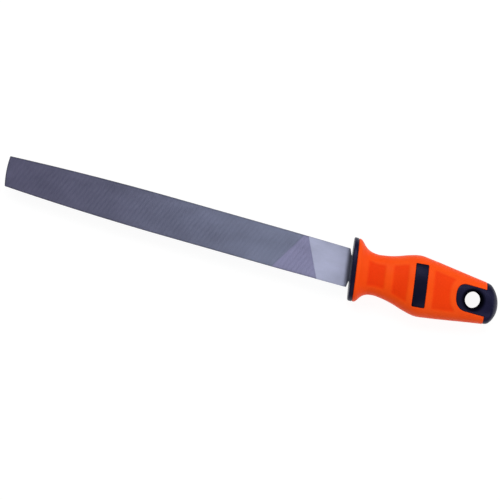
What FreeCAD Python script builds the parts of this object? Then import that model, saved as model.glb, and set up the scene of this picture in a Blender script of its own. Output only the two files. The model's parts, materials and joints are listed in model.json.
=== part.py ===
import FreeCAD, Part
import math
import os

# Flat file with a 250 mm blade and a two-colour moulded handle, in millimetres.
#
# +X runs along the blade from the tip to the butt, +Y lies across the broad face, and +Z stands
# out of the broad face. The origin is the centre of the whole file's box, on the blade's centre line.
#
# The collar, label windows and butt are raked: they lean back towards the tip on the +Y side.
# A station is a distance along the blade's centre line from a datum plane inside the collar, and the
# plane through a station leans with the rake.

# Blade
blade_length = 250.0
blade_width = 28.0
blade_thickness = 6.2
tip_width = 21.6
tip_thickness = 3.8
tip_crown = 0.8
tip_lean = 0.086
taper_length = 120.0
heel_taper_station = -50.0
heel_width = 27.2

# Heel and tang, from the shoulders into the handle
shoulder_station = -4.25
heel_ramp_station = -7.5
heel_ramp_length = 4.6
tang_root_station = -2.9
tang_root_width = 18.4
tang_root_thickness = 4.2
tang_end_station = 60.0
tang_end_width = 6.0
tang_end_thickness = 3.0

# Handle
handle_length = 105.0
rake_angle = 8.8
centre_rise = 0.0225
squareness = 2.5
section_points = 32
shell_thickness = 3.0
assembly_gap = 0.05

# Station, half height and half depth of the grip's outline
grip_profile = (
    (1.15, 22.0, 15.5),
    (2.4, 22.0, 15.4),
    (3.6, 21.4, 14.9),
    (5.0, 19.9, 13.9),
    (6.8, 17.7, 12.8),
    (9.6, 15.7, 11.6),
    (14.0, 14.5, 11.0),
    (22.0, 15.0, 11.1),
    (30.0, 16.8, 12.0),
    (38.0, 19.4, 13.3),
    (46.0, 21.2, 14.1),
    (56.0, 20.3, 13.7),
    (70.0, 18.3, 12.5),
    (84.0, 16.2, 11.1),
    (98.0, 14.2, 9.8),
    (108.0, 12.7, 8.9),
)

# Collar
collar_station = -0.5
collar_thickness = 3.3
collar_half_height = 22.3
collar_half_depth = 15.6
collar_edge_radius = 1.0
dowel_radius = 1.5
dowel_offset = 12.6
dowel_length = 5.0

# Label inlays, one in each broad side of the grip
label_station = 47.9
label_width = 9.3
label_height = 30.5
label_centre_y = 1.65
label_end_rise = 0.1
label_corner_radius = 0.8
label_recess = 0.3

# Butt cap with the hanging hole
cap_station = 95.7
cap_inset = 0.05
cap_end_radius = 18.5
cap_end_depth_radius = 13.0
core_end_station = 80.0
tongue_station = 82.3
tongue_nose_length = 8.2
tongue_half_height = 9.5
tongue_overlap = 4.0
hole_station = 86.8
hole_centre_y = 2.2
hole_radius = 5.8
hole_wall_length = 12.0
hole_flare_radius = 8.4
hole_flare_depth = 10.9
tenon_start_station = 66.0
tenon_end_station = 79.3
tenon_half_height = 4.0
tenon_half_depth = 3.0

# Half size of the blocks and prisms that trim a shape and reach past it
clear_reach = 40.0

rake_slope = math.tan(math.radians(rake_angle))
overall_length = tip_crown + blade_length - shoulder_station + handle_length
collar_x = overall_length / 2 - handle_length
tip_x = tip_crown - overall_length / 2


def raked(station, y, z=0.0):
    """Point of the leaning plane through a station."""
    return FreeCAD.Vector(collar_x + station - y * rake_slope, y, z)


def centre_y(station):
    """Height of the handle's centre line, which rises slightly towards the butt."""
    return centre_rise * station


def upright(wire, half_height=clear_reach):
    """Solid that stands on a flat outline and reaches the same distance above and below it."""
    face = Part.Face(wire)
    face.translate(FreeCAD.Vector(0, 0, -half_height))
    return face.extrude(FreeCAD.Vector(0, 0, 2 * half_height))


def raked_block(start, end, low_y=-clear_reach, high_y=clear_reach, half_depth=clear_reach):
    """Block between two leaning planes."""
    corners = [raked(start, low_y), raked(end, low_y), raked(end, high_y), raked(start, high_y)]
    return upright(Part.makePolygon(corners + corners[:1]), half_depth)


def raked_arc(centre_station, middle_y, radius_x, radius_y, start_degrees, end_degrees, power=2.0):
    """Edge along an arc drawn in the leaning frame: an ellipse, or squarer with a higher power."""
    steps = 12
    points = []
    for step in range(steps + 1):
        angle = math.radians(start_degrees + (end_degrees - start_degrees) * step / steps)
        reach = (abs(math.cos(angle)) ** power + abs(math.sin(angle)) ** power) ** (-1 / power)
        station = centre_station + radius_x * reach * math.cos(angle)
        points.append(raked(station, middle_y + radius_y * reach * math.sin(angle)))
    curve = Part.BSplineCurve()
    curve.interpolate(points)
    return curve.toShape()


def section(station, half_height, half_depth):
    """Rounded closed outline of the handle in the leaning plane through a station."""
    points = []
    for step in range(section_points):
        angle = 2 * math.pi * step / section_points
        across = abs(math.cos(angle)) / half_height
        outward = abs(math.sin(angle)) / half_depth
        reach = (across ** squareness + outward ** squareness) ** (-1 / squareness)
        y = centre_y(station) + reach * math.cos(angle)
        points.append(raked(station, y, reach * math.sin(angle)))
    curve = Part.BSplineCurve()
    curve.interpolate(Points=points, PeriodicFlag=True)
    return Part.Wire(curve.toShape())


def handle_body(inset=0.0):
    """The handle's outer form, drawn in by an even inset."""
    sections = [section(station, height - inset, depth - inset) for station, height, depth in grip_profile]
    return Part.makeLoft(sections, True, False)


def arc_drop(length, full_drop, distance):
    """Fall at a distance along an arc that starts level and has fallen by the full drop at a length."""
    radius = (length ** 2 + full_drop ** 2) / (2 * full_drop)
    return radius - math.sqrt(radius ** 2 - distance ** 2)


def falling_arc(start_x, end_x, length, half_size, full_drop, place):
    """Edge from start_x to end_x along such an arc, placed by a function of x and half size."""
    points = []
    for x in (start_x, (start_x + end_x) / 2, end_x):
        points.append(place(x, half_size - arc_drop(length, full_drop, abs(x - start_x))))
    return Part.Arc(*points).toShape()


def chain(points):
    """Straight edges through a run of points."""
    return [Part.makeLine(first, second) for first, second in zip(points, points[1:])]


def blade_plan():
    """The blade and its tang from above, as a solid that reaches past both faces."""
    half = blade_width / 2
    drop = (blade_width - tip_width) / 2
    lean = tip_lean * tip_width / 2
    start = tip_x + taper_length
    arcs = []
    for side in (1, -1):
        def place(x, y):
            return FreeCAD.Vector(x, side * y, 0)
        arcs.append(falling_arc(start, tip_x - side * lean, taper_length, half, drop, place))
    top_arc, low_arc = arcs
    tip_top = top_arc.Vertexes[-1].Point
    tip_low = low_arc.Vertexes[-1].Point
    end_arc = Part.Arc(tip_low, FreeCAD.Vector(tip_x - tip_crown, 0, 0), tip_top).toShape()
    taper_x = collar_x + heel_taper_station
    tang_side = [
        top_arc.Vertexes[0].Point,
        FreeCAD.Vector(taper_x, half, 0),
        raked(shoulder_station, heel_width / 2),
        raked(tang_root_station, tang_root_width / 2),
        raked(tang_end_station, tang_end_width / 2),
        raked(tang_end_station, -tang_end_width / 2),
        raked(tang_root_station, -tang_root_width / 2),
        raked(shoulder_station, -heel_width / 2),
        FreeCAD.Vector(taper_x, -half, 0),
        low_arc.Vertexes[0].Point,
    ]
    edges = chain(tang_side) + [low_arc, top_arc, end_arc]
    return upright(Part.Wire(Part.__sortEdges__(edges)))


def blade_side():
    """The blade and its tang from the side, drawn out along the leaning direction."""
    half = blade_thickness / 2
    taper_start = tip_x + taper_length
    taper_end = tip_x - tip_crown - tip_lean * tip_width
    ramp_start = collar_x + heel_ramp_station
    taper_fall = (blade_thickness - tip_thickness) / 2
    ramp_fall = (blade_thickness - tang_root_thickness) / 2
    edges = []
    ends = []
    for side in (1, -1):
        def place(x, z):
            return FreeCAD.Vector(x, 0, side * z)
        taper = falling_arc(taper_start, taper_end, taper_length, half, taper_fall, place)
        ramp_end = ramp_start + heel_ramp_length
        ramp = falling_arc(ramp_start, ramp_end, heel_ramp_length, half, ramp_fall, place)
        tang_end = raked(tang_end_station, 0, side * tang_end_thickness / 2)
        edges += [taper, ramp]
        edges += chain([taper.Vertexes[0].Point, ramp.Vertexes[0].Point])
        edges += chain([ramp.Vertexes[-1].Point, tang_end])
        ends += [(taper.Vertexes[-1].Point, tang_end)]
    for top, low in zip(*ends):
        edges += chain([top, low])
    face = Part.Face(Part.Wire(Part.__sortEdges__(edges)))
    lean = FreeCAD.Vector(-rake_slope, 1, 0) * clear_reach
    face.translate(-lean)
    return face.extrude(lean * 2)


def make_blade():
    return blade_plan().common(blade_side())


def make_collar(blade):
    """Flange between the blade and the grip, with two dowels that key it to the core."""
    half = collar_thickness / 2
    stations = (collar_station - half, collar_station + half)
    faces = [section(station, collar_half_height, collar_half_depth) for station in stations]
    flange = Part.makeLoft(faces, True, True)
    rims = [edge for edge in flange.Edges if edge.isClosed()]
    flange = flange.makeFillet(collar_edge_radius, rims)
    for side in (-1, 1):
        start = raked(collar_station, side * dowel_offset)
        dowel = Part.makeCylinder(dowel_radius, half + dowel_length, start, FreeCAD.Vector(1, 0, 0))
        flange = flange.fuse(dowel)
    return flange.cut(blade)


def label_window():
    """Raked block with rounded corners, in the shape of the label from above."""
    corners = []
    for along, across in ((-1, -1), (1, -1), (1, 1), (-1, 1)):
        rise = label_end_rise * along * label_width / 2
        y = label_centre_y + across * label_height / 2 + rise
        corners.append(raked(label_station + along * label_width / 2, y))
    block = upright(Part.makePolygon(corners + corners[:1]))
    uprights = [edge for edge in block.Edges if abs(edge.tangentAt(edge.FirstParameter).z) > 0.99]
    return block.makeFillet(label_corner_radius, uprights)


def tongue(gap=0.0):
    """The cap's tongue around the hanging hole, from above, with a round nose towards the collar."""
    low = hole_centre_y - tongue_half_height - gap
    high = hole_centre_y + tongue_half_height + gap
    end = cap_station + tongue_overlap
    nose = raked_arc(tongue_station, hole_centre_y, tongue_nose_length + gap, high - hole_centre_y,
                     90, 270, squareness)
    sides = chain([raked(tongue_station, low), raked(end, low),
                   raked(end, high), raked(tongue_station, high)])
    return upright(Part.Wire(Part.__sortEdges__([nose] + sides)))


def tenon(gap=0.0):
    """Block that keys the cap's tongue into the core."""
    low = hole_centre_y - tenon_half_height - gap
    high = hole_centre_y + tenon_half_height + gap
    return raked_block(tenon_start_station - gap, tenon_end_station, low, high, tenon_half_depth + gap)


def butt_end():
    """Rounded end of the handle, curved both across its height and through its depth."""
    middle = centre_y(handle_length)
    centre = handle_length - cap_end_radius
    roll_station = handle_length - cap_end_depth_radius
    nose = raked_arc(centre, middle, cap_end_radius, cap_end_radius, -90, 90)
    box = chain([raked(centre, middle + cap_end_radius), raked(0, middle + cap_end_radius),
                 raked(0, middle - cap_end_radius), raked(centre, middle - cap_end_radius)])
    plan = upright(Part.Wire(Part.__sortEdges__([nose] + box)))
    roll = Part.makeCylinder(cap_end_depth_radius, 1, FreeCAD.Vector(), FreeCAD.Vector(0, 1, 0))
    roll_start = raked(roll_station, -clear_reach)
    shear = FreeCAD.Matrix(1, -rake_slope * 2 * clear_reach, 0, roll_start.x,
                           0, 2 * clear_reach, 0, roll_start.y,
                           0, 0, 1, 0,
                           0, 0, 0, 1)
    roll = roll.transformGeometry(shear)
    body = raked_block(0, roll_station, half_depth=cap_end_depth_radius)
    return plan.common(roll.fuse(body))


def make_cap():
    """Dark end cap with the tongue, the hanging hole and the tenon."""
    region = tongue().fuse(raked_block(cap_station + assembly_gap, handle_length + tongue_overlap))
    cap = handle_body(cap_inset).common(region).common(butt_end()).fuse(tenon())
    axis = FreeCAD.Vector(0, 0, 1)
    middle = raked(hole_station, hole_centre_y)
    cap = cap.cut(Part.makeCylinder(hole_radius, 2 * clear_reach, middle - axis * clear_reach, axis))
    slope = (hole_flare_radius - hole_radius) / (hole_flare_depth - hole_wall_length / 2)
    reach = clear_reach - hole_wall_length / 2
    for side in (-1, 1):
        mouth = middle + axis * (side * hole_wall_length / 2)
        cap = cap.cut(Part.makeCone(hole_radius, hole_radius + slope * reach, reach, mouth, axis * side))
    return cap


def make_core(blade, collar):
    """Hard core that holds the tang, the collar's dowels and the cap's tenon."""
    space = raked_block(grip_profile[0][0], core_end_station)
    core = handle_body(shell_thickness + assembly_gap).common(space)
    return core.cut(blade).cut(collar).cut(tongue(assembly_gap)).cut(tenon(assembly_gap))


def make_grip():
    """Grip moulded around the core, with a window for each label and a slot for the cap's tongue."""
    core_space = handle_body(shell_thickness).common(raked_block(0, core_end_station + assembly_gap))
    grip = handle_body().common(raked_block(0, cap_station))
    return grip.cut(core_space).cut(tongue(assembly_gap)).cut(label_window())


def make_label(side):
    """Inlay that fills one window, a little below the grip's surface."""
    half_space = Part.makeBox(2 * overall_length, 2 * clear_reach, clear_reach)
    low_z = 0 if side > 0 else -clear_reach
    half_space.translate(FreeCAD.Vector(-overall_length, -clear_reach, low_z))
    inlay = label_window().common(handle_body(label_recess)).cut(handle_body(shell_thickness))
    return inlay.common(half_space)


def main():
    blade = make_blade()
    collar = make_collar(blade)
    nodes = {
        "file_blade": blade,
        "front_collar": collar,
        "handle_core": make_core(blade, collar),
        "grip_overmould": make_grip(),
        "label_inlay_front": make_label(1),
        "label_inlay_back": make_label(-1),
        "butt_cap": make_cap(),
    }
    os.makedirs("parts", exist_ok=True)
    for name, shape in nodes.items():
        shape.exportStep(os.path.join("parts", name + ".step"))


main()
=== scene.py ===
import json
import math

import bmesh
import bpy
import numpy as np
from mathutils import Matrix, Vector


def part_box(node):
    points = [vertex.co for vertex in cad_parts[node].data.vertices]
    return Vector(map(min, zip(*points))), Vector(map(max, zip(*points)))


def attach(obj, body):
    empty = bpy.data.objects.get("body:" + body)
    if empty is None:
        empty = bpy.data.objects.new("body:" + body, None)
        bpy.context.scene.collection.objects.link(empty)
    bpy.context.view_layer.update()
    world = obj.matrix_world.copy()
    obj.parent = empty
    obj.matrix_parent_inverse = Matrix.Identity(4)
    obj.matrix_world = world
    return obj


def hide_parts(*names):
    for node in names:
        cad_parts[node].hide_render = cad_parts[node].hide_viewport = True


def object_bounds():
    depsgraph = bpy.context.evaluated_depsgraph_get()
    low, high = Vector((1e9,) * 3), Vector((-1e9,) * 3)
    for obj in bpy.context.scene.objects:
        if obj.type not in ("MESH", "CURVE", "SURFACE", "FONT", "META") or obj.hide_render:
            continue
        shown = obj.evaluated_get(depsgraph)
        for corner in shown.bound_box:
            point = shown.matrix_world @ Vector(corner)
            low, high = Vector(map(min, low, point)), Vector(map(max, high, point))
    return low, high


# Flat file with a moulded handle. Every piece is drawn in millimetres in the CAD frame: +X from tip to
# butt, +Y across the broad face, +Z out of it. A station is a distance from a datum plane inside the
# collar, and the plane through a station leans with the handle's rake.

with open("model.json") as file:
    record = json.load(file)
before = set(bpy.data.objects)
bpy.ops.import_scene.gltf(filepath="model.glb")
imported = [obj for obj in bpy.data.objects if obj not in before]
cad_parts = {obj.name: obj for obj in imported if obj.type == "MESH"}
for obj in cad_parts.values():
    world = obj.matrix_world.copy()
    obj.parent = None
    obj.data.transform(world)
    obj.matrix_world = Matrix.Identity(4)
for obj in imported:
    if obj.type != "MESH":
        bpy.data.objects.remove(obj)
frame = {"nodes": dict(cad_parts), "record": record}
cad_low, cad_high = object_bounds()
mounts = {mount["name"]: mount for mount in frame["record"]["mounts"]}

MM = 0.001
TAU = 2 * math.pi
rng = np.random.default_rng(7)

# ---- places that come from the frame ----
blade_high = np.array(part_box("file_blade")[1]) / MM
HOLE_X, HOLE_Y = (value / MM for value in mounts["hang_hole"]["pos_m"][:2])
HOLE_RADIUS = mounts["hang_hole"]["dims"]["r_mm"]
HOLE_WALL = mounts["hang_hole"]["dims"]["length_mm"]
# From the middle of the heel's mount to the datum plane inside the collar
HEEL_FACE_OFFSET = 15.0
COLLAR_X = mounts["heel_face"]["pos_m"][0] / MM + HEEL_FACE_OFFSET
HALF_WIDTH = blade_high[1]
HALF_THICK = blade_high[2]

# ---- blade ----
BLADE_LENGTH = 250.0
TAPER_LENGTH = 120.0
TIP_HALF_WIDTH = 10.8
TIP_HALF_THICK = 1.9
TIP_CROWN = 0.8
TIP_LEAN = 0.086
CHAMFER = 0.35
SHOULDER = -4.25
# The heel narrows from this station to its half width at the shoulder
HEEL_TAPER = -50.0
HEEL_HALF_WIDTH = 13.6
TIP_X = COLLAR_X + SHOULDER - BLADE_LENGTH
# Station where the broad faces start to fall to the tang
RAMP_START = -7.5
# Station, half width and half thickness of the tang
TANG_ROOT = (-2.9, 9.2, 2.1)
TANG_END = (60.0, 3.0, 1.5)
# Station where a cut starts on the centre line, and its lean across the face
FIRST_CUT = (-30.4, math.radians(26))
SECOND_CUT = (-48.5, math.radians(-31))
FIRST_PITCH = 0.85
SECOND_PITCH = 0.95
FIRST_DEPTH = 0.17
SECOND_DEPTH = 0.12
EDGE_PITCH = 0.9
EDGE_DEPTH = 0.14
EDGE_LEAN = math.tan(math.radians(24))
# Points along one tooth: share of the pitch, and share of the depth there
FIRST_TOOTH = ((0, 1), (0.6, 0), (0.76, 0))
SECOND_TOOTH = ((0, 1), (0.55, 0))
EDGE_TOOTH = ((0, 1), (0.65, 0))
# Depth of the teeth's crests under the smooth blank
SKIN = 0.05
# Flat rows that carry the second cut's grid on to where only the first cut runs
FLAT_ROWS = 40
# Reach of a tooth cutter past the blade's tip, its long edges and its surface
PAST_TIP = 3.0
PAST_EDGE = 1.5
TOOL_HEIGHT = 6.0
# Half height of the cutter for a narrow edge
EDGE_TOOL_HALF = 5.0
# Width of the band of painted shade along the long edges and the tip
RIM_SHADE_WIDTH = 1.3
# Stations between which the neck falls into the collar's shade
NECK_SHADE = (-5.2, -2.6)
# A face whose normal points up or down by less than this share is on a narrow edge
NARROW_FACING = 0.4

# ---- handle ----
RAKE = math.tan(math.radians(8.8))
CENTRE_RISE = 0.0225
# Power of the handle's rounded rings, where 2 gives an ellipse
SQUARENESS = 2.5
HANDLE_END = 105.0
# Station, half height and half depth of the grip
PROFILE = np.array((
    (1.15, 22.0, 15.5),
    (2.4, 22.0, 15.4),
    (3.6, 21.4, 14.9),
    (5.0, 19.9, 13.9),
    (6.8, 17.7, 12.8),
    (9.6, 15.7, 11.6),
    (14.0, 14.5, 11.0),
    (22.0, 15.0, 11.1),
    (30.0, 16.8, 12.0),
    (38.0, 19.4, 13.3),
    (46.0, 21.2, 14.1),
    (56.0, 20.3, 13.7),
    (70.0, 18.3, 12.5),
    (84.0, 16.2, 11.1),
    (98.0, 14.2, 9.8),
    (108.0, 12.7, 8.9),
))
GRIP_START = PROFILE[0, 0]
GRIP_END = 95.7
# Thickness of the grip round the hard core, and the station where the core ends
SHELL = 3.0
CORE_END = 80.0
# Gap round each label and round the tang in the collar
SEAM = 0.12
# Overlap of the cap and its slot, so that no light passes between them
OVERLAP = 0.02
# Reach of a cutting body past the surfaces and past the end that it trims
CLEAR = 20.0
PAST_END = 9.0
# Overruns past a cut: of the core's space at the grip's front and at a label, and of the trimmed blanks
CORE_PAST_GRIP = 0.4
CORE_PAST_LABEL = 2.0
LABEL_SPARE = 0.5
CAP_SPARE = 1.0
# Points closer than this after a cut are one point
WELD = 0.002
COLLAR_STATION = -0.5
COLLAR_HALF = (22.3, 15.6)
COLLAR_THICK = 3.3
COLLAR_ROUND = 1.0
# Reach of the tang's slot to each side of the datum plane, which is past the collar's faces
COLLAR_SLOT = 5.0
LABEL_STATION = 47.9
LABEL_Y = 1.65
LABEL_HALF = (4.65, 15.25)
LABEL_END_RISE = 0.1
LABEL_CORNER = 0.8
LABEL_RECESS = 0.35
LABEL_LIP = 0.4
TONGUE_STATION = 82.3
TONGUE_NOSE = 8.2
TONGUE_HALF = 9.5
CAP_RECESS = 0.05
# Radius of the butt's dome seen from the broad side and from the narrow side
DOME_RADIUS = (18.5, 13.0)
# Length of the butt where the rings lie closer together towards its end
DOME_LENGTH = 8.5
# Power that blends the grip into the dome, and the least square of a ring's size there
DOME_BLEND = 30
DOME_LEAST = 0.02
FLARE_RADIUS = 8.4
FLARE_HEIGHT = 4.6
# Width of the fully shaded ring round the hole
BORE_RING = 1.2
LIP = 0.6
# First and last station of each recessed grip panel
PANELS = ((8.6, 23.4), (26.6, 40.0), (56.0, 75.5))
PANEL_DEPTH = 0.5
# Width of a panel's soft sides
PANEL_SLOPE = 2.6
# Border between a panel and the grip's side, and between a panel and the cap's tongue
PANEL_MARGIN = 5.2
TONGUE_MARGIN = 3.2
PARTING_RIDGE = 0.08
PARTING_WIDTH = 0.3
# Edges sharper than these angles stay sharp in the shading
MOULDED_EDGE = 38
STEEL_EDGE = 12

# ---- colours on the screen, from 0 to 255 ----
# A clean and a clouded shade of each plastic
ORANGE_BORDER = ((246, 80, 14), (242, 72, 8))
# The panels' darker orange is partly their textured finish and partly painted shade of the recess
ORANGE_PANEL = ((238, 60, 3), (232, 53, 2))
DARK_PLASTIC = ((20, 19, 44), (12, 12, 30))
CORE_PLASTIC = ((28, 28, 40), (20, 20, 30))
LABEL_PLASTIC = ((12, 17, 40), (9, 10, 26))
# The deepest shade in the hanging hole
BORE_SHADE = (5, 5, 10)
HEEL_STEEL = (176, 180, 206)
FIRST_CUT_STEEL = (144, 144, 177)
# Share of the way from tip to collar, and the steel's colour there where both cuts run. The colours
# darken towards the tip as painted shade
DOUBLE_CUT_STEEL = ((0.0, (89, 88, 112)), (0.3, (96, 97, 120)), (0.75, (122, 128, 152)))

# ---- stage, in metres ----
ROLL = math.radians(15.85)
CAMERA_HEIGHT = 2.0
PICTURE_WIDTH = 0.3532
AIM = Vector((0.0007, -0.0069, 0))
SENSOR_WIDTH = 36
# Name, distance along the picture's width, up it and out of it, width and height of the lamp, and power
LAMPS = (
    ("key", (0.0, 0.85, 1.4), (1.6, 0.8), 19),
    ("fill", (0.4, -1.1, 1.1), (1.4, 0.7), 6),
    ("side", (1.3, 0.2, 0.8), (0.8, 0.8), 5),
)
# Brightness of the room for the object and for the camera
ROOM_LIGHT = 0.22
ROOM_SEEN = 1.0
FLOOR_REACH = 6.0


# ---- shapes of the handle ----
def curve_through(x, places, values):
    """Smooth curve through a few values."""
    slopes = np.gradient(values, places)
    index = np.clip(np.searchsorted(places, x) - 1, 0, len(places) - 2)
    step = places[index + 1] - places[index]
    t = (x - places[index]) / step
    start = (2 * t**3 - 3 * t**2 + 1) * values[index] + (t**3 - 2 * t**2 + t) * step * slopes[index]
    end = (3 * t**2 - 2 * t**3) * values[index + 1] + (t**3 - t**2) * step * slopes[index + 1]
    return start + end


def grip_size(station):
    """Half height and half depth of the grip at a station."""
    return tuple(curve_through(station, PROFILE[:, 0], PROFILE[:, column]) for column in (1, 2))


def cap_size(station):
    """The grip's size, closed by a dome at the butt."""
    sizes = []
    for size, radius in zip(grip_size(station), DOME_RADIUS):
        into = np.maximum(station - (HANDLE_END - radius), 0)
        arc = np.sqrt(np.maximum(radius**2 - into**2, DOME_LEAST))
        sizes.append((size**-DOME_BLEND + arc**-DOME_BLEND) ** (-1 / DOME_BLEND))
    return tuple(sizes)


def centre_y(station):
    """Height of the handle's centre line, which rises towards the butt."""
    return CENTRE_RISE * station


def smooth_step(value):
    """Soft step from 0 to 1."""
    value = np.clip(value, 0, 1)
    return value * value * (3 - 2 * value)


def lip(distance, radius):
    """Drop of a rounded edge at a distance from it."""
    into = radius - np.clip(distance, 0, radius)
    return radius - np.sqrt(radius**2 - into**2)


def label_distance(station, y):
    """Distance outside the label's rounded outline, negative inside it."""
    rise = LABEL_END_RISE * (station - LABEL_STATION)
    along = np.abs(station - LABEL_STATION) - (LABEL_HALF[0] - LABEL_CORNER)
    across = np.abs(y - LABEL_Y - rise) - (LABEL_HALF[1] - LABEL_CORNER)
    outside = np.hypot(np.maximum(along, 0), np.maximum(across, 0))
    return outside + np.minimum(np.maximum(along, across), 0) - LABEL_CORNER


def tongue_distance(station, y):
    """Distance outside the cap's tongue, negative inside it."""
    along = np.maximum(TONGUE_STATION - station, 0) / TONGUE_NOSE
    across = np.abs(y - HOLE_Y) / TONGUE_HALF
    reach = np.maximum(along**SQUARENESS + across**SQUARENESS, 1e-6) ** (1 / SQUARENESS)
    steps = np.hypot(along ** (SQUARENESS - 1) / TONGUE_NOSE, across ** (SQUARENESS - 1) / TONGUE_HALF)
    nose = (reach - 1) * reach ** (SQUARENESS - 1) / np.maximum(steps, 1e-6)
    return np.where(station < TONGUE_STATION, nose, np.abs(y - HOLE_Y) - TONGUE_HALF)


def panel_amount(station, y):
    """1 on a recessed grip panel, 0 off it, with soft sides."""
    half = grip_size(station)[0]
    side = smooth_step((half - PANEL_MARGIN - np.abs(y - centre_y(station))) / PANEL_SLOPE)
    ring = smooth_step((tongue_distance(station, y) - TONGUE_MARGIN) / PANEL_SLOPE)
    total = np.zeros_like(y)
    for start, end in PANELS:
        ends = smooth_step((station - start) / PANEL_SLOPE) * smooth_step((end - station) / PANEL_SLOPE)
        total = np.maximum(total, ends)
    return total * side * ring


def grip_inset(station, y, angle):
    """Panels, soft lips at every edge, and the mould's parting line along both sides."""
    inset = PANEL_DEPTH * panel_amount(station, y)
    inset = inset + lip(label_distance(station, y), LIP)
    inset = inset + lip(np.minimum(tongue_distance(station, y), GRIP_END - station), LIP)
    inset = inset + lip(station - GRIP_START, LIP)
    parting = np.abs(np.sin(angle)) * grip_size(station)[0]
    return inset - PARTING_RIDGE * np.exp(-((parting / PARTING_WIDTH) ** 2))


def cap_inset(station, y, angle):
    """The cap lies a little under the grip, with soft edges."""
    region = np.minimum(tongue_distance(station, y), GRIP_END - station)
    return CAP_RECESS + lip(-region, LIP)


def label_inset(station, y, angle):
    """The label lies under the grip's surface, with a rounded rim."""
    return LABEL_RECESS + lip(-label_distance(station, y) - SEAM, LABEL_LIP)


# ---- mesh tools ----
def signed_volume(points, faces):
    """Six times the volume inside closed faces, negative when they face inwards."""
    total = 0.0
    for face in faces:
        fan = points[list(face)]
        total += np.einsum("j,ij->", fan[0], np.cross(fan[1:-1], fan[2:]))
    return total


def mesh_object(name, points, faces):
    """Object from points in millimetres, with its faces turned outwards."""
    points = np.asarray(points, float)
    if signed_volume(points, faces) < 0:
        faces = [tuple(reversed(face)) for face in faces]
    mesh = bpy.data.meshes.new(name)
    mesh.from_pydata((points * MM).tolist(), [], faces)
    mesh.update()
    obj = bpy.data.objects.new(name, mesh)
    bpy.context.scene.collection.objects.link(obj)
    return obj


def combine(target, tool, operation):
    """Applies a boolean with a closed tool, and removes the tool."""
    modifier = target.modifiers.new("combine", "BOOLEAN")
    modifier.operation = operation
    modifier.solver = "MANIFOLD"
    modifier.object = tool
    graph = bpy.context.evaluated_depsgraph_get()
    mesh = bpy.data.meshes.new_from_object(target.evaluated_get(graph))
    target.modifiers.clear()
    old = target.data
    target.data = mesh
    bpy.data.meshes.remove(old)
    bpy.data.objects.remove(tool)
    if not mesh.polygons:
        raise RuntimeError(target.name + " has no faces left after " + operation)
    return target


def weld(obj):
    """Joins points that cuts left almost in one place, and drops points that only split an edge."""
    shape = bmesh.new()
    shape.from_mesh(obj.data)
    bmesh.ops.remove_doubles(shape, verts=shape.verts, dist=WELD * MM)
    splitting = [vertex for vertex in shape.verts if len(vertex.link_edges) == 2]
    bmesh.ops.dissolve_verts(shape, verts=splitting)
    shape.to_mesh(obj.data)
    shape.free()
    return obj


def vertex_places(obj):
    """Places of the vertices in millimetres."""
    places = np.empty(len(obj.data.vertices) * 3)
    obj.data.vertices.foreach_get("co", places)
    return places.reshape(-1, 3) / MM


def store(obj, name, values):
    """Keeps a number per vertex for the material to read."""
    obj.data.attributes.new(name, "FLOAT", "POINT").data.foreach_set("value", values)


def shade(obj, degrees):
    """Smooth shading that keeps edges sharper than an angle."""
    mesh = obj.data
    mesh.polygons.foreach_set("use_smooth", [True] * len(mesh.polygons))
    mesh.set_sharp_from_angle(angle=math.radians(degrees))
    return obj


def raked(station, y, z=0.0):
    """Point on the leaning plane through a station."""
    return (COLLAR_X + station - y * RAKE, y, z)


def graded(start, end, marks, coarse, fine, reach):
    """Values from start to end that lie closer together near the marks."""
    values = [start]
    while values[-1] < end:
        nearest = min(abs(values[-1] - mark) for mark in marks)
        values.append(values[-1] + fine + (coarse - fine) * min(1, nearest / reach))
    scale = (end - start) / (values[-1] - start)
    return start + (np.array(values) - start) * scale


def ring_reach(angles, height, depth):
    """Distance from the centre to a rounded ring with a half height and a half depth."""
    across = np.abs(np.cos(angles)) / height
    outward = np.abs(np.sin(angles)) / depth
    return (across**SQUARENESS + outward**SQUARENESS) ** (-1 / SQUARENESS)


def body(name, stations, angles, size, inset=None):
    """Closed body through leaning rounded rings. inset(station, y, angle) draws a point inwards."""
    stations = np.asarray(stations, float)[:, None]
    angles = np.asarray(angles, float)[None, :]
    reach = ring_reach(angles, *size(stations))
    if inset:
        reach = reach - inset(stations, centre_y(stations) + reach * np.cos(angles), angles)
    y = centre_y(stations) + reach * np.cos(angles)
    x = COLLAR_X + stations - y * RAKE
    points = np.stack([x, y, reach * np.sin(angles)], axis=-1).reshape(-1, 3)
    return mesh_object(name, points, tube_faces(stations.size, angles.size))


def tube_faces(count, around, ends=True):
    """Quads between rings and, when asked for, a face over each end."""
    faces = []
    for base in range(0, (count - 1) * around, around):
        for step in range(around):
            after = (step + 1) % around
            faces.append((base + step, base + after, base + around + after, base + around + step))
    if ends:
        faces.append(tuple(range(around - 1, -1, -1)))
        faces.append(tuple(range((count - 1) * around, count * around)))
    return faces


def extrusion(name, outline, direction):
    """Closed body from a flat outline moved along a direction."""
    start = np.array(outline, float)
    points = np.concatenate([start, start + np.array(direction, float)])
    return mesh_object(name, points, tube_faces(2, len(start)))


def lathe(name, profile, around, centre):
    """Closed body turned about a line along Z. The profile holds (radius, z) pairs."""
    angles = even_turn(around)
    rings = []
    for radius, z in profile:
        x = centre[0] + radius * np.cos(angles)
        y = centre[1] + radius * np.sin(angles)
        rings.append(np.stack([x, y, np.full(around, z)], axis=1))
    return mesh_object(name, np.concatenate(rings), tube_faces(len(profile), around))


def even_turn(count):
    """Evenly spaced angles round a ring."""
    return np.arange(count) * TAU / count


def full_turn(coarse_degrees, fine_degrees):
    """Angles round a handle ring, closer together at the parting line and at the windows' ends."""
    marks = [math.radians(mark) for mark in (0, 41, 139, 180, 221, 319, 360)]
    coarse, fine = math.radians(coarse_degrees), math.radians(fine_degrees)
    return graded(0.0, TAU, marks, coarse, fine, reach=0.16)[:-1]


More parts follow.
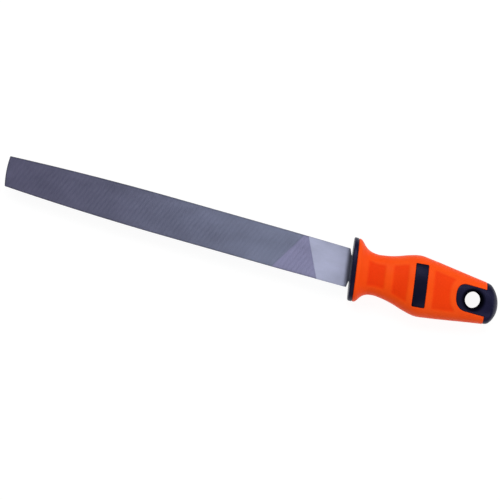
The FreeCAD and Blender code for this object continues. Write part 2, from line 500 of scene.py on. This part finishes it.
# ---- handle pieces ----
def label_tool(low_z, high_z, gap):
    """Body in the shape of the label's outline."""
    outline = []
    for quarter in range(4):
        for step in range(7):
            angle = (quarter + step / 6) * TAU / 4
            side_x = 1 if quarter in (0, 3) else -1
            side_y = 1 if quarter in (0, 1) else -1
            radius = LABEL_CORNER - gap
            along = side_x * (LABEL_HALF[0] - LABEL_CORNER) + radius * math.cos(angle)
            y = LABEL_Y + side_y * (LABEL_HALF[1] - LABEL_CORNER) + radius * math.sin(angle)
            outline.append(raked(LABEL_STATION + along, y + LABEL_END_RISE * along, low_z))
    return extrusion("label_tool", outline, (0, 0, high_z - low_z))


def tongue_nose(gap):
    """Curve round the nose of the cap's tongue, from its +Y side to its -Y side."""
    angles = np.linspace(0.25, 0.75, 49) * TAU
    reach = ring_reach(angles, 1.0, 1.0)
    stations = TONGUE_STATION + (TONGUE_NOSE - gap) * reach * np.cos(angles)
    heights = HOLE_Y + (TONGUE_HALF - gap) * reach * np.sin(angles)
    return [raked(station, y, -CLEAR) for station, y in zip(stations, heights)]


def core_space(stations, angles):
    """Body that leaves the thickness of the grip's shell around it."""
    return body("core_space", stations, angles, grip_size, lambda station, y, angle: SHELL)


def make_grip():
    """Orange shell with a label window in each broad side and a slot for the cap's tongue."""
    label_start, label_end = LABEL_STATION - LABEL_HALF[0], LABEL_STATION + LABEL_HALF[0]
    marks = (GRIP_START, label_start, label_end, TONGUE_STATION - TONGUE_NOSE, GRIP_END)
    stations = graded(GRIP_START, GRIP_END, marks, coarse=0.62, fine=0.14, reach=3.0)
    grip = body("grip", stations, full_turn(1.7, 0.5), grip_size, grip_inset)
    core_stations = np.linspace(GRIP_START - CORE_PAST_GRIP, CORE_END, 40)
    combine(grip, core_space(core_stations, even_turn(72)), "DIFFERENCE")
    combine(grip, label_tool(-CLEAR, CLEAR, 0.0), "DIFFERENCE")
    end = GRIP_END + PAST_END
    outline = tongue_nose(0.0) + [raked(end, HOLE_Y + side * TONGUE_HALF, -CLEAR) for side in (-1, 1)]
    combine(grip, extrusion("slot", outline, (0, 0, 2 * CLEAR)), "DIFFERENCE")
    x, y, _ = vertex_places(weld(grip)).T
    store(grip, "panel", panel_amount(x - COLLAR_X + y * RAKE, y))
    return shade(grip, MOULDED_EDGE)


def make_cap():
    """Dark end cap with its tongue round the hanging hole."""
    dome = HANDLE_END - DOME_LENGTH
    nose = TONGUE_STATION - TONGUE_NOSE
    straight = graded(nose - CAP_SPARE, dome, (nose, GRIP_END), coarse=0.6, fine=0.14, reach=2.5)
    domed = dome + DOME_LENGTH * np.sin(np.linspace(0, TAU / 4, 46))[1:]
    cap = body("cap", np.concatenate([straight, domed]), full_turn(1.5, 0.5), cap_size, cap_inset)
    start, half = GRIP_END - OVERLAP, TONGUE_HALF + OVERLAP
    end = HANDLE_END + PAST_END
    corners = ((start, HOLE_Y - half), (start, -CLEAR), (end, -CLEAR),
               (end, CLEAR), (start, CLEAR), (start, HOLE_Y + half))
    outline = tongue_nose(-OVERLAP) + [raked(station, y, -CLEAR) for station, y in corners]
    combine(cap, extrusion("region", outline, (0, 0, 2 * CLEAR)), "INTERSECT")
    combine(cap, dish_tool(), "DIFFERENCE")
    x, y, _ = vertex_places(weld(cap)).T
    out = np.hypot(x - HOLE_X, y - HOLE_Y) - HOLE_RADIUS
    # Painted shade round the hanging hole: full near its wall, fading out over the funnel
    store(cap, "bore", 1 - smooth_step((out - BORE_RING) / (FLARE_RADIUS - HOLE_RADIUS)))
    return shade(cap, MOULDED_EDGE)


def dish_tool():
    """The hanging hole, with a rounded funnel at each mouth."""
    flare = FLARE_RADIUS - HOLE_RADIUS
    upper = []
    for step in range(17):
        into = math.sin(step / 16 * TAU / 4)
        radius = HOLE_RADIUS + flare * (1 - math.sqrt(1 - into**2))
        upper.append((radius, HOLE_WALL / 2 + FLARE_HEIGHT * into))
    upper.append((FLARE_RADIUS, CLEAR))
    profile = [(radius, -z) for radius, z in reversed(upper)] + upper
    return lathe("dish", profile, 128, (HOLE_X, HOLE_Y))


def make_label(name, side):
    """Blank inlay in the grip's window. The side is 1 at the front and -1 at the back."""
    start, end = marks = (LABEL_STATION - LABEL_HALF[0], LABEL_STATION + LABEL_HALF[0])
    stations = graded(start - LABEL_SPARE, end + LABEL_SPARE, marks, coarse=0.5, fine=0.1, reach=1.2)
    label = body(name, stations, full_turn(1.5, 0.35), grip_size, label_inset)
    low, high = (0.0, CLEAR) if side > 0 else (-CLEAR, 0.0)
    combine(label, label_tool(low, high, SEAM), "INTERSECT")
    core_stations = np.linspace(start - CORE_PAST_LABEL, end + CORE_PAST_LABEL, 12)
    combine(label, core_space(core_stations, even_turn(96)), "DIFFERENCE")
    return shade(weld(label), MOULDED_EDGE)


def make_collar():
    """Flange with rounded rims and a slot for the tang."""
    quarter = np.linspace(0, TAU / 4, 9)
    front = -COLLAR_THICK / 2 + COLLAR_ROUND * (1 - np.cos(quarter))
    drawn_in = COLLAR_ROUND * (1 - np.sin(quarter))
    stations = COLLAR_STATION + np.concatenate([front, -front[::-1]])
    insets = np.concatenate([drawn_in, drawn_in[::-1]])[:, None]

    def size(stations):
        """Half height and half depth at each of the collar's stations."""
        return COLLAR_HALF[0] - insets, COLLAR_HALF[1] - insets

    collar = body("collar", stations, even_turn(240), size)
    half, z = TANG_ROOT[1] + SEAM, TANG_ROOT[2] + SEAM
    corners = ((-1, -1), (1, -1), (1, 1), (-1, 1))
    outline = [raked(along * COLLAR_SLOT, across * half, -z) for along, across in corners]
    combine(collar, extrusion("slot", outline, (0, 0, 2 * z)), "DIFFERENCE")
    return shade(weld(collar), MOULDED_EDGE)


# ---- blade ----
def arc_drop(length, full_drop, distance):
    """Fall at a distance along an arc that starts level and has fallen by the full drop at a length."""
    radius = (length**2 + full_drop**2) / (2 * full_drop)
    return radius - np.sqrt(radius**2 - np.maximum(distance, 0) ** 2)


def edge_y(x):
    """Half width of the blade, which narrows towards the tip and a little towards the heel."""
    into_heel = np.maximum(x - COLLAR_X - HEEL_TAPER, 0) / (SHOULDER - HEEL_TAPER)
    heel = into_heel * (HALF_WIDTH - HEEL_HALF_WIDTH)
    tip = arc_drop(TAPER_LENGTH, HALF_WIDTH - TIP_HALF_WIDTH, TIP_X + TAPER_LENGTH - x)
    return HALF_WIDTH - heel - tip


def face_z(x):
    """Half thickness of the blade, which thins towards the tip."""
    return HALF_THICK - arc_drop(TAPER_LENGTH, HALF_THICK - TIP_HALF_THICK, TIP_X + TAPER_LENGTH - x)


def blade_ring(x, half_y, half_z, lean, crown=0.0):
    """Points round one cross section of the blade, with chamfered corners."""
    flat_y, flat_z = half_y - CHAMFER, half_z - CHAMFER
    face = [(share * flat_y, half_z) for share in np.linspace(1, -1, 13)]
    upper = [(half_y, flat_z)] + face + [(-half_y, flat_z)]
    y, z = np.array(upper + [(-y, -z) for y, z in upper]).T
    return np.stack([x - lean * y - crown * (1 - (y / half_y) ** 2), y, z], axis=1)


def blade_blank():
    """Smooth blade from the tip through the heel and shoulders to the end of the tang."""
    rings = [blade_ring(TIP_X, edge_y(TIP_X) - CHAMFER, face_z(TIP_X) - CHAMFER, TIP_LEAN, TIP_CROWN)]
    for x in np.linspace(TIP_X + CHAMFER, TIP_X + TAPER_LENGTH, 41):
        to_tip = 1 - (x - TIP_X) / TAPER_LENGTH
        rings.append(blade_ring(x, edge_y(x), face_z(x), TIP_LEAN * to_tip, TIP_CROWN * to_tip**8))
    rings.append(blade_ring(COLLAR_X + HEEL_TAPER, HALF_WIDTH, HALF_THICK, 0.0))
    length = TANG_ROOT[0] - RAMP_START
    for station in np.linspace(RAMP_START, SHOULDER, 8):
        x = COLLAR_X + station
        z = HALF_THICK - arc_drop(length, HALF_THICK - TANG_ROOT[2], station - RAMP_START)
        rings.append(blade_ring(x, edge_y(x), z, RAKE))
    for station, half_y, half_z in (TANG_ROOT, TANG_END):
        rings.append(blade_ring(COLLAR_X + station, half_y, half_z, RAKE))
    around = len(rings[0])
    faces = tube_faces(len(rings), around, ends=False)
    # Each end is closed by strips between the ring's upper and lower half
    last = (len(rings) - 1) * around
    for step in range(around // 2 - 1):
        quad = (step, step + 1, around - 2 - step, around - 1 - step)
        faces.append(quad[::-1])
        faces.append(tuple(last + index for index in quad))
    return mesh_object("blade", np.concatenate(rings), faces)


def cut_lines(length, pitch, tooth):
    """Places and depths, as a share of the full depth, of the lines that shape a row of grooves. Spacing
    and depth are a little uneven, as a cutting machine leaves them."""
    count = int(length / pitch) + 1
    grooves = pitch * (np.arange(count + 1) + rng.uniform(-0.05, 0.05, count + 1))
    factors = rng.uniform(0.85, 1.0, count)
    places, depths = [], []
    for start, end, factor in zip(grooves, grooves[1:], factors):
        for share, depth in tooth:
            places.append(start + (end - start) * share)
            depths.append(depth * factor)
    return np.array(places), np.array(depths)


def sheet_tool(name, points, mask, direction):
    """Closed cutter between a grid of points and the same grid moved along a direction.
    mask says which grid cells are kept."""
    columns = points.shape[1]
    flat = points.reshape(-1, 3)
    count = len(flat)
    # A wall stands on every edge that only one kept cell has
    faces, walls = [], {}
    for row, column in np.argwhere(mask).tolist():
        corner = row * columns + column
        quad = (corner, corner + columns, corner + columns + 1, corner + 1)
        faces.append(quad)
        faces.append(tuple(index + count for index in reversed(quad)))
        for first, second in zip(quad, quad[1:] + quad[:1]):
            if (second, first) in walls:
                del walls[(second, first)]
            else:
                walls[(first, second)] = True
    for first, second in walls:
        faces.append((second, first, first + count, second + count))
    all_points = np.concatenate([flat, flat + np.array(direction, float)])
    used = sorted({index for face in faces for index in face})
    place = {old: new for new, old in enumerate(used)}
    faces = [tuple(place[index] for index in face) for face in faces]
    return mesh_object(name, all_points[used], faces)


def face_tool(side):
    """Cutter with the double cut of one broad face."""
    (first_x, first_angle), (second_x, second_angle) = FIRST_CUT, SECOND_CUT
    first_cos, second_cos = math.cos(first_angle), math.cos(second_angle)
    reach = COLLAR_X - TIP_X + HALF_WIDTH
    first, first_depth = cut_lines(reach, FIRST_PITCH, FIRST_TOOTH)
    second, second_depth = cut_lines(reach, SECOND_PITCH, SECOND_TOOTH)
    second = np.concatenate([np.arange(-FLAT_ROWS, 0) * SECOND_PITCH, second])
    second_depth = np.concatenate([np.zeros(FLAT_ROWS), second_depth])
    # The grid's points are where a line of the first cut crosses a line of the second
    a = (first / first_cos)[:, None]
    b = (second / second_cos)[None, :]
    start_a, start_b = COLLAR_X + first_x, COLLAR_X + second_x
    y = ((a - b) - (start_a - start_b)) / (math.tan(second_angle) - math.tan(first_angle))
    x = start_a - math.tan(first_angle) * y - a
    depth = np.maximum(FIRST_DEPTH * first_depth[:, None], SECOND_DEPTH * second_depth[None, :])
    z = face_z(x) - SKIN - depth
    points = np.stack([x, side * y, side * z], axis=-1)
    near = (np.abs(y) < HALF_WIDTH + PAST_EDGE) & (x > TIP_X - PAST_TIP)
    mask = near[:-1, :-1] | near[1:, :-1] | near[:-1, 1:] | near[1:, 1:]
    return sheet_tool("face_tool", points, mask, (0, 0, side * TOOL_HEIGHT))


def edge_tool(side):
    """Cutter with the single cut of one narrow edge."""
    start_x = COLLAR_X + FIRST_CUT[0] - side * math.tan(FIRST_CUT[1]) * HALF_WIDTH
    places, depths = cut_lines(start_x - TIP_X + 2 * PAST_TIP, EDGE_PITCH, EDGE_TOOTH)
    rows = np.array([-EDGE_TOOL_HALF, EDGE_TOOL_HALF])
    x = (start_x - places)[:, None] + EDGE_LEAN * rows[None, :] * side
    y = edge_y(x) - SKIN - EDGE_DEPTH * depths[:, None]
    z = np.broadcast_to(rows[None, :], x.shape)
    points = np.stack([x, side * y, z], axis=-1)
    mask = np.ones((len(places) - 1, 1), bool)
    return sheet_tool("edge_tool", points, mask, (0, side * TOOL_HEIGHT, 0))


def make_blade():
    """Blade with its tang and with teeth on both faces and both edges."""
    blade = blade_blank()
    for side in (1, -1):
        combine(blade, face_tool(side), "DIFFERENCE")
        combine(blade, edge_tool(side), "DIFFERENCE")
    x, y, z = vertex_places(weld(blade)).T
    under_face = face_z(x) - np.abs(z)
    under_edge = edge_y(x) - np.abs(y)
    # Painted shade in the grooves, deeper where a point lies further under the blank
    store(blade, "groove_shade", np.clip((np.minimum(under_face, under_edge) - SKIN) / FIRST_DEPTH, 0, 1))
    tip = TIP_X - TIP_LEAN * y - TIP_CROWN * (1 - (y / TIP_HALF_WIDTH) ** 2)
    # Painted shade along the long edges and the tip
    store(blade, "rim", 1 - smooth_step(np.minimum(under_edge, x - tip) / RIM_SHADE_WIDTH))
    return shade(blade, STEEL_EDGE)


# ---- materials ----
def linear(red, green, blue):
    """Linear colour from 0 to 255 screen values."""
    values = [value / 255 for value in (red, green, blue)]
    return tuple(v / 12.92 if v <= 0.04045 else ((v + 0.055) / 1.055) ** 2.4 for v in values) + (1.0,)


class Finish:
    """A node material built a node at a time."""

    def __init__(self, name):
        self.material = bpy.data.materials.new(name)
        self.material.use_nodes = True
        self.tree = self.material.node_tree
        self.surface = self.tree.nodes["Principled BSDF"]
        self.coordinates = self.add("ShaderNodeTexCoord").outputs["Object"]

    def add(self, kind, inputs=None, **settings):
        """New node with its inputs and settings."""
        node = self.tree.nodes.new(kind)
        for key, value in settings.items():
            setattr(node, key, value)
        self.feed(node, inputs or {})
        return node

    def feed(self, node, inputs):
        """Links each input that is a socket, and sets each one that is a value."""
        for key, value in inputs.items():
            if isinstance(value, bpy.types.NodeSocket):
                self.tree.links.new(value, node.inputs[key])
            else:
                node.inputs[key].default_value = value

    def math(self, operation, *values):
        """Result of a sum, a product or another operation."""
        return self.add("ShaderNodeMath", dict(enumerate(values)), operation=operation).outputs[0]

    def noise(self, scale, detail=3.0, roughness=0.5, stretch=(1, 1, 1)):
        """Noise in the object's own space, finer along an axis with a larger stretch."""
        place = self.add("ShaderNodeMapping", {"Vector": self.coordinates, "Scale": stretch}).outputs[0]
        inputs = {"Vector": place, "Scale": scale, "Detail": detail, "Roughness": roughness}
        return self.add("ShaderNodeTexNoise", inputs).outputs["Fac"]

    def blend(self, amount, first, second, mode="MIX"):
        """Mix of two colours."""
        node = self.add("ShaderNodeMix", data_type="RGBA", blend_type=mode)
        self.feed(node, {0: amount, 6: first, 7: second})
        return node.outputs[2]

    def clouded(self, cloud, colours):
        """Mix of a pair of screen colours."""
        first, second = (linear(*colour) for colour in colours)
        return self.blend(cloud, first, second)

    def spread(self, value, low, high, new_low, new_high):
        """Value moved from one range to another, and held inside it."""
        inputs = {"Value": value, 1: low, 2: high, 3: new_low, 4: new_high}
        return self.add("ShaderNodeMapRange", inputs).outputs[0]

    def stored(self, name):
        """Number that store() kept on the mesh, 0 where there is none."""
        return self.add("ShaderNodeAttribute", attribute_name=name).outputs["Fac"]

    def bump(self, height, distance, strength=1.0, normal=None):
        """Normal of a surface that is raised by a height."""
        inputs = {"Height": height, "Distance": distance, "Strength": strength}
        if normal is not None:
            inputs["Normal"] = normal
        return self.add("ShaderNodeBump", inputs).outputs[0]


def moulded(name, colours, rough, shine, grain_scale=900.0):
    """Moulded plastic with a faint grain, clouding and smoother patches. A bore gets painted shade: a
    darker colour and no shine.
    """
    finish = Finish(name)
    cloud = finish.spread(finish.noise(28.0, 4.0, 0.6), 0.35, 0.65, 0.0, 1.0)
    roughness = finish.spread(finish.noise(60.0, 5.0, 0.7), 0.3, 0.7, rough - 0.06, rough + 0.08)
    normal = finish.bump(finish.noise(grain_scale, 2.0), 0.00006, 0.6)
    bore = finish.stored("bore")
    shaded = finish.math("MULTIPLY", bore, 0.8)
    colour = finish.blend(shaded, finish.clouded(cloud, colours), linear(*BORE_SHADE))
    shine = finish.spread(bore, 0.0, 1.0, shine, 0.0)
    finish.feed(finish.surface, {
        "Base Color": colour, "Roughness": roughness, "Normal": normal,
        "Specular IOR Level": shine, "Specular Tint": (0.5, 0.5, 1.0, 1)})
    return finish.material


def steel_finish():
    """Steel with painted shade that darkens it towards the tip, with both cut zones and the plain heel
    in their own tones.
    """
    finish = Finish("cut_steel")
    place = finish.add("ShaderNodeSeparateXYZ", {0: finish.coordinates}).outputs
    # The cuts lean the other way on the back. A narrow edge takes the front's lean from end to end
    normal = finish.add("ShaderNodeNewGeometry").outputs["True Normal"]
    facing = finish.add("ShaderNodeSeparateXYZ", {0: normal}).outputs[2]
    narrow = finish.math("LESS_THAN", finish.math("ABSOLUTE", facing), NARROW_FACING)
    side = finish.spread(narrow, 0.0, 1.0, finish.math("SIGN", place[2]), 1.0)
    flipped_y = finish.math("MULTIPLY", place[1], side)
    # 1 where each cut has teeth, 0 on the handle's side of its start
    zones = []
    for station, angle in (FIRST_CUT, SECOND_CUT):
        reach = finish.math("ADD", finish.math("MULTIPLY", place[0], math.cos(angle)),
                            finish.math("MULTIPLY", flipped_y, math.sin(angle)))
        zones.append(finish.math("LESS_THAN", reach, (COLLAR_X + station) * MM * math.cos(angle)))
    # The double cut's colour darkens towards the tip as painted shade
    along = finish.spread(place[0], TIP_X * MM, COLLAR_X * MM, 0.0, 1.0)
    ramp = finish.add("ShaderNodeValToRGB", {0: along})
    for index, (position, colour) in enumerate(DOUBLE_CUT_STEEL):
        stop = ramp.color_ramp.elements[index] if index < 2 else ramp.color_ramp.elements.new(position)
        stop.position = position
        stop.color = linear(*colour)
    darker = finish.math("MAXIMUM", zones[1], narrow)
    toothed = finish.blend(darker, linear(*FIRST_CUT_STEEL), ramp.outputs[0])
    colour = finish.blend(zones[0], linear(*HEEL_STEEL), toothed)
    # Tone: painted shade in the grooves, random clouding, painted shade where the neck enters the
    # collar, and painted shade along the rim
    groove_shade = finish.spread(finish.stored("groove_shade"), 0.0, 1.0, 1.0, 0.87)
    cloud = finish.spread(finish.noise(45.0, 5.0, 0.65, (0.6, 1.4, 1)), 0.3, 0.7, 0.86, 1.12)
    station = finish.math("ADD", place[0], finish.math("MULTIPLY", place[1], RAKE))
    neck_start, neck_end = ((COLLAR_X + edge) * MM for edge in NECK_SHADE)
    # Painted shade where the neck enters the collar
    neck_shade = finish.spread(station, neck_start, neck_end, 1.0, 0.3)
    # The rim's painted shade is deeper where the teeth are than on the plain heel
    depth = finish.spread(zones[0], 0.0, 1.0, 0.12, 0.42)
    rim = finish.math("SUBTRACT", 1.0, finish.math("MULTIPLY", finish.stored("rim"), depth))
    tone = finish.math("MULTIPLY", groove_shade, cloud)
    for shade_factor in (neck_shade, rim):
        tone = finish.math("MULTIPLY", tone, shade_factor)
    grey = finish.add("ShaderNodeCombineXYZ", {0: tone, 1: tone, 2: tone}).outputs[0]
    colour = finish.blend(1.0, colour, grey, "MULTIPLY")
    # Fine grinding marks across the blade
    scratches = finish.noise(260.0, 4.0, 0.7, (12.0, 1.0, 1.0))
    roughness = finish.spread(scratches, 0.3, 0.7, 0.4, 0.54)
    normal = finish.bump(scratches, 0.00002, 0.5)
    finish.feed(finish.surface, {
        "Base Color": colour, "Metallic": 0.85, "Roughness": roughness, "Normal": normal})
    return finish.material


def orange_finish():
    """Soft orange grip with smooth, lighter borders and darker, textured panels. The panels' darker
    colour is partly their textured finish and partly painted shade of the recess.
    """
    finish = Finish("orange_elastomer")
    panel = finish.stored("panel")
    cloud = finish.spread(finish.noise(38.0, 4.0, 0.6), 0.35, 0.65, 0.0, 1.0)
    border = finish.clouded(cloud, ORANGE_BORDER)
    recess = finish.clouded(cloud, ORANGE_PANEL)
    rubbed = finish.spread(finish.noise(60.0, 5.0, 0.7), 0.3, 0.7, 0.44, 0.58)
    roughness = finish.math("ADD", rubbed, finish.math("MULTIPLY", panel, 0.12))
    grain = finish.bump(finish.noise(1800.0, 2.0), 0.00005, 0.5)
    pebble = finish.math("MULTIPLY", finish.noise(1100.0, 1.0), panel)
    normal = finish.bump(pebble, 0.0002, 0.6, grain)
    finish.feed(finish.surface, {
        "Base Color": finish.blend(panel, border, recess), "Roughness": roughness, "Normal": normal,
        "Specular IOR Level": 0.16, "Specular Tint": (1, 0.65, 0.45, 1)})
    return finish.material


def floor_finish():
    """Matt floor that glows a little, so that it reads as white with soft shadows."""
    finish = Finish("floor")
    speckle = finish.spread(finish.noise(12.0, 3.0), 0.3, 0.7, 0.0, 1.0)
    finish.feed(finish.surface, {
        "Base Color": finish.blend(speckle, (0.13, 0.13, 0.13, 1), (0.12, 0.12, 0.12, 1)),
        "Roughness": 0.9, "Specular IOR Level": 0.1,
        "Emission Color": (1, 1, 1, 1), "Emission Strength": 0.92})
    return finish.material


# ---- stage ----
def plate(name, half, z):
    """Flat square sheet."""
    corners = [(-half, -half, z), (half, -half, z), (half, half, z), (-half, half, z)]
    return mesh_object(name, corners, [(0, 1, 2, 3)])


def add_lamp(name, place, size, power):
    """Rectangular lamp that shines at the origin."""
    data = bpy.data.lights.new(name, "AREA")
    data.shape = "RECTANGLE"
    data.size, data.size_y = size
    data.energy = power
    obj = bpy.data.objects.new(name, data)
    obj.location = place
    obj.rotation_euler = (-place).to_track_quat("-Z", "Y").to_euler()
    bpy.context.scene.collection.objects.link(obj)


# ---- build ----
steel = steel_finish()
orange = orange_finish()
dark = moulded("dark_plastic", DARK_PLASTIC, rough=0.4, shine=0.22)
core_dark = moulded("core_plastic", CORE_PLASTIC, rough=0.55, shine=0.3)
label_dark = moulded("label_plastic", LABEL_PLASTIC, rough=0.4, shine=0.16, grain_scale=500.0)

pieces = (
    (make_blade(), "file_blade", "tool_steel", steel),
    (make_collar(), "front_collar", "dark_plastic", dark),
    (make_grip(), "grip_overmould", "grip_orange", orange),
    (make_label("label_front", 1), "label_inlay_front", "label_plastic", label_dark),
    (make_label("label_back", -1), "label_inlay_back", "label_plastic", label_dark),
    (make_cap(), "butt_cap", "dark_plastic", dark),
)
for piece, node, slot, finish in pieces:
    piece.data.materials.clear()
    piece.data.materials.append(finish)
    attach(piece, "root")
    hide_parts(node)
    print("PIECE", piece.name, len(piece.data.polygons), "faces")
core = frame["nodes"]["handle_core"]
core.data.materials.clear()
core.data.materials.append(core_dark)

scene = bpy.context.scene
scene.view_settings.view_transform = "Standard"
floor = plate("floor", FLOOR_REACH / MM, cad_low.z / MM)
floor.data.materials.append(floor_finish())

# The room is a soft grey to the object and white to the camera
world = bpy.data.worlds.new("studio")
scene.world = world
world.use_nodes = True
tree = world.node_tree
background = tree.nodes["Background"]
background.inputs["Color"].default_value = (1, 1, 1, 1)
seen = tree.nodes.new("ShaderNodeLightPath").outputs["Is Camera Ray"]
strength = tree.nodes.new("ShaderNodeMapRange")
tree.links.new(seen, strength.inputs["Value"])
strength.inputs["To Min"].default_value = ROOM_LIGHT
strength.inputs["To Max"].default_value = ROOM_SEEN
tree.links.new(strength.outputs[0], background.inputs["Strength"])

# Lamps and camera turn with the picture, which looks straight down on the broad face
turn = Matrix.Rotation(ROLL, 4, "Z")
for lamp_name, place, lamp_size, power in LAMPS:
    add_lamp(lamp_name, turn @ Vector(place), lamp_size, power)

camera_data = bpy.data.cameras.new("camera")
camera_data.sensor_width = SENSOR_WIDTH
camera_data.lens = SENSOR_WIDTH * CAMERA_HEIGHT / PICTURE_WIDTH
camera_data.clip_end = 10 * CAMERA_HEIGHT
camera = bpy.data.objects.new("camera", camera_data)
camera.matrix_world = Matrix.Translation(AIM + Vector((0, 0, CAMERA_HEIGHT))) @ turn
scene.collection.objects.link(camera)
scene.camera = camera
